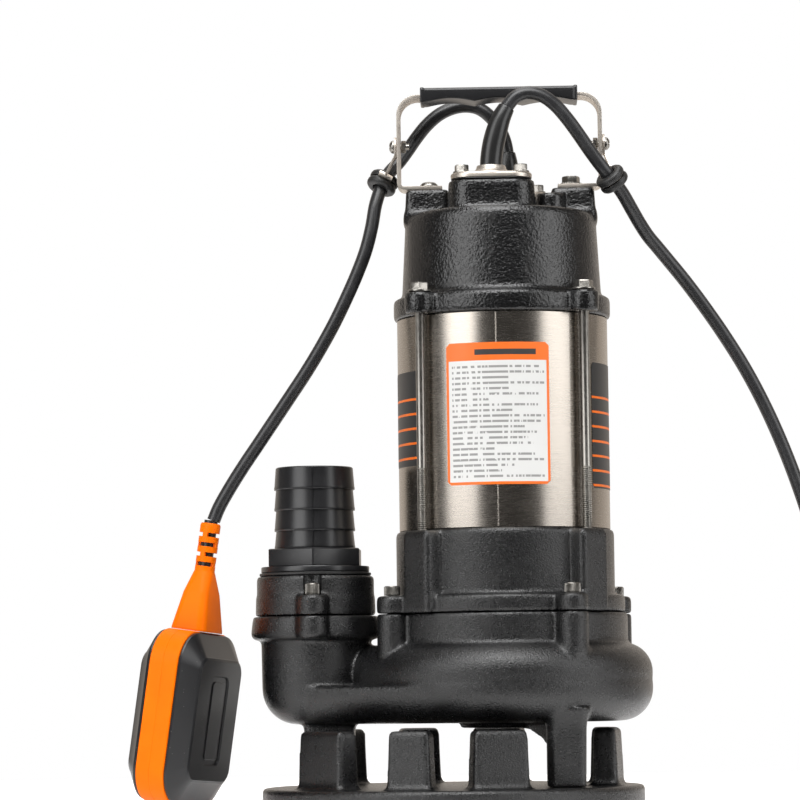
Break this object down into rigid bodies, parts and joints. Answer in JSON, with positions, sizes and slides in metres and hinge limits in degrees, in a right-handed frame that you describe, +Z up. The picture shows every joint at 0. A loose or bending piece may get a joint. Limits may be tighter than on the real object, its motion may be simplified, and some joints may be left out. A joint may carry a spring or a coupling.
{
  "type": "submersible sump pump",
  "caption": "Submersible sewage pump on a strainer base, with a stainless motor sleeve, a carrying handle, a hose barb outlet, a float switch and a supply cord with a plug.",
  "frame": {"origin": "on the shaft axis, at the underside of the strainer base", "axes": "+Z up along the shaft, +X away from the discharge, -Y towards the front, where the supply gland sits"},
  "size_m": [0.6073, 0.317, 0.4459],
  "materials": {
    "black_casting": "black enamel over a sandy casting, satin gloss",
    "black_cover": "black hammered enamel, orange peel",
    "stainless_sheet": "brushed stainless steel sheet",
    "zinc_fastener": "nickel plated screws",
    "bearing_steel": "ground steel",
    "lamination": "stacked electrical steel",
    "copper_winding": "enamelled copper wire",
    "ceramic": "lapped ceramic",
    "capacitor_case": "moulded capacitor case",
    "black_plastic": "satin moulded black plastic",
    "rubber": "black rubber",
    "cord_jacket": "black rubber sheathed cord",
    "orange_plastic": "satin orange plastic"
  },
  "bodies": {
    "root": {"strainer_base": "black_casting", "pump_casing": "black_casting", "oil_chamber_housing": "black_casting", "seal_seat": "ceramic", "lower_bearing": "bearing_steel", "upper_bearing": "bearing_steel", "motor_sleeve": "stainless_sheet", "stator_core": "lamination", "stator_winding": "copper_winding", "top_cover": "black_cover", "run_capacitor": "capacitor_case", "handle_strap": "stainless_sheet", "handle_grip": "black_plastic", "handle_screw_left": "zinc_fastener", "handle_screw_right": "zinc_fastener", "gland_boot_front": "rubber", "gland_boot_rear": "rubber", "gland_plate_front": "stainless_sheet", "gland_plate_rear": "stainless_sheet", "gland_screw_front_left": "zinc_fastener", "gland_screw_front_right": "zinc_fastener", "gland_screw_rear_left": "zinc_fastener", "gland_screw_rear_right": "zinc_fastener", "clip_link_left": "stainless_sheet", "clip_link_right": "stainless_sheet", "cord_grommet_left": "rubber", "cord_grommet_right": "rubber", "clip_screw_left": "zinc_fastener", "clip_screw_right": "zinc_fastener", "clip_nut_left": "zinc_fastener", "clip_nut_right": "zinc_fastener", "discharge_flange": "black_casting", "flange_screw_1": "zinc_fastener", "flange_screw_2": "zinc_fastener", "barb_washer": "rubber", "hose_barb": "black_plastic", "casing_screw_1": "zinc_fastener", "casing_screw_2": "zinc_fastener", "casing_screw_3": "zinc_fastener", "casing_screw_4": "zinc_fastener", "tie_rod_1": "zinc_fastener", "tie_rod_2": "zinc_fastener", "tie_rod_3": "zinc_fastener", "tie_rod_4": "zinc_fastener", "float_cord_upper": "cord_jacket", "power_cord": "cord_jacket", "power_cord_coil": "cord_jacket", "power_plug": "black_plastic"},
    "rotor": {"impeller": "black_casting", "shaft": "bearing_steel", "impeller_nut": "zinc_fastener", "rotor_core": "lamination", "seal_rotary_ring": "bearing_steel"},
    "float": {"float_shell_right": "black_plastic", "float_shell_left": "black_plastic", "float_band": "orange_plastic", "float_boot": "orange_plastic", "float_microswitch": "black_plastic", "float_cord_lower": "cord_jacket"},
    "ball": {"float_ball": "bearing_steel"}
  },
  "joints": [
    {"name": "rotor_spin", "type": "hinge", "parent": "root", "child": "rotor", "pos_m": [0, 0, 0.2], "axis": [0, 0, 1], "continuous": true},
    {"name": "float_swing", "type": "hinge", "parent": "root", "child": "float", "pos_m": [-0.0735, 0.013, 0.3893], "axis": [0, 1, 0], "range_deg": [0, 110]},
    {"name": "ball_roll", "type": "slide", "parent": "float", "child": "ball", "axis": [0.1392, 0, 0.9903], "range_m": [0, 0.03]}
  ]
}
